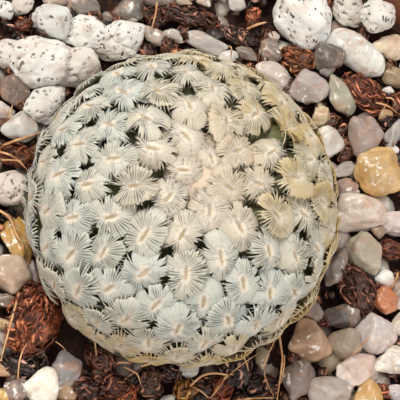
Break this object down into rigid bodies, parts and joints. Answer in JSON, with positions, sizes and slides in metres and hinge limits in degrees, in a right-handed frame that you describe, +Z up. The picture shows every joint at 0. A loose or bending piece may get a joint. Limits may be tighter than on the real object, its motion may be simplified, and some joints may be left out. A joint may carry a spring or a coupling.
{
  "type": "potted mammillaria",
  "caption": "Small globular cactus with comb-like white spines, in a terracotta pot topped with pumice, quartz grit and bark.",
  "frame": {"origin": "centre of the pot's foot, on the surface it stands on", "axes": "+Z up through the pot; the cactus stands a little off the pot's axis, towards -X and -Y"},
  "size_m": [0.092, 0.092, 0.1013],
  "materials": {
    "terracotta": "matt, unglazed",
    "potting_mix": "matt, crumbly",
    "stones": "mixed pumice, quartz and bark",
    "cactus": "white spines over green flesh"
  },
  "bodies": {
    "root": {"pot": "terracotta", "soil": "potting_mix", "gravel": "stones", "cactus": "cactus"}
  },
  "joints": []
}
